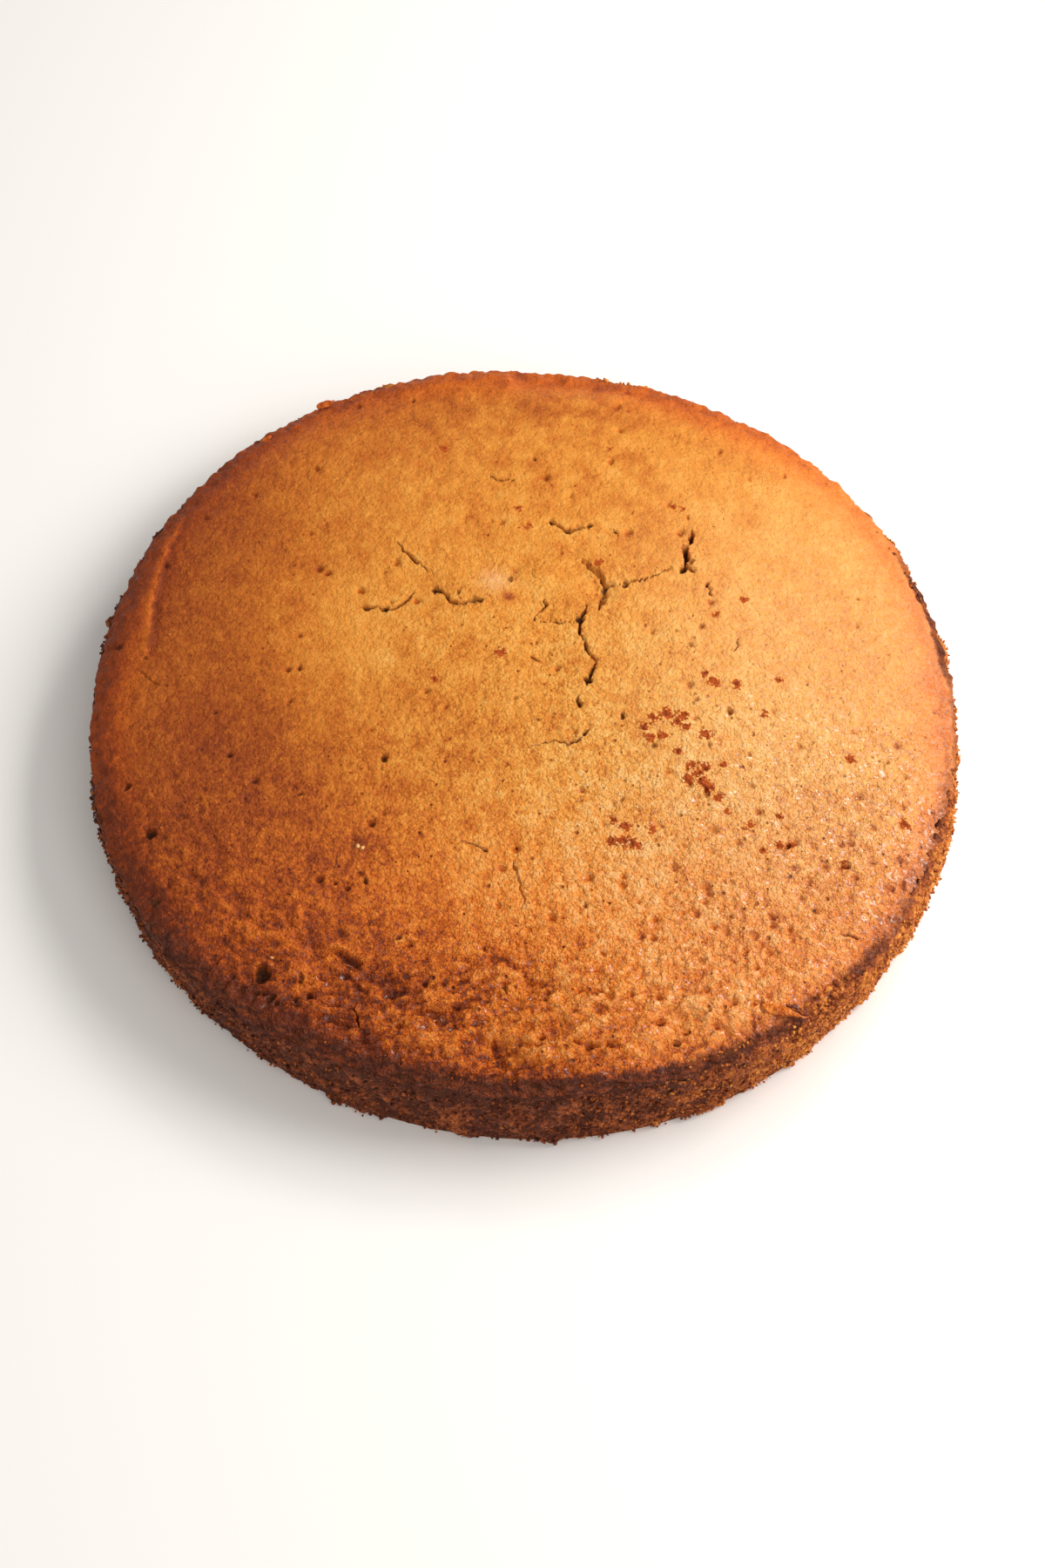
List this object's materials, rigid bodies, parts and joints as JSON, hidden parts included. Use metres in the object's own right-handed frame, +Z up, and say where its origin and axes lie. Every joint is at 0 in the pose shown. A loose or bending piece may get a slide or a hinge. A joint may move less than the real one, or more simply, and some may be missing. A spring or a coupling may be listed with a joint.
{
  "type": "naked cake",
  "caption": "Round uncut cake without icing: domed golden crust with small cracks, a dark rolled rim, a rough crumb side and a flat base.",
  "frame": {"origin": "middle of the flat base, at the height of the surface that the cake stands on", "axes": "+Z up through the crown, -Y towards the side that faced the camera, +X to its right"},
  "size_m": [0.2295, 0.2307, 0.0372],
  "materials": {
    "baked_crust": "baked crust, golden brown and finely pitted, darker at the rim, with torn crumb at the side"
  },
  "bodies": {
    "root": {"cake": "baked_crust"}
  },
  "joints": []
}
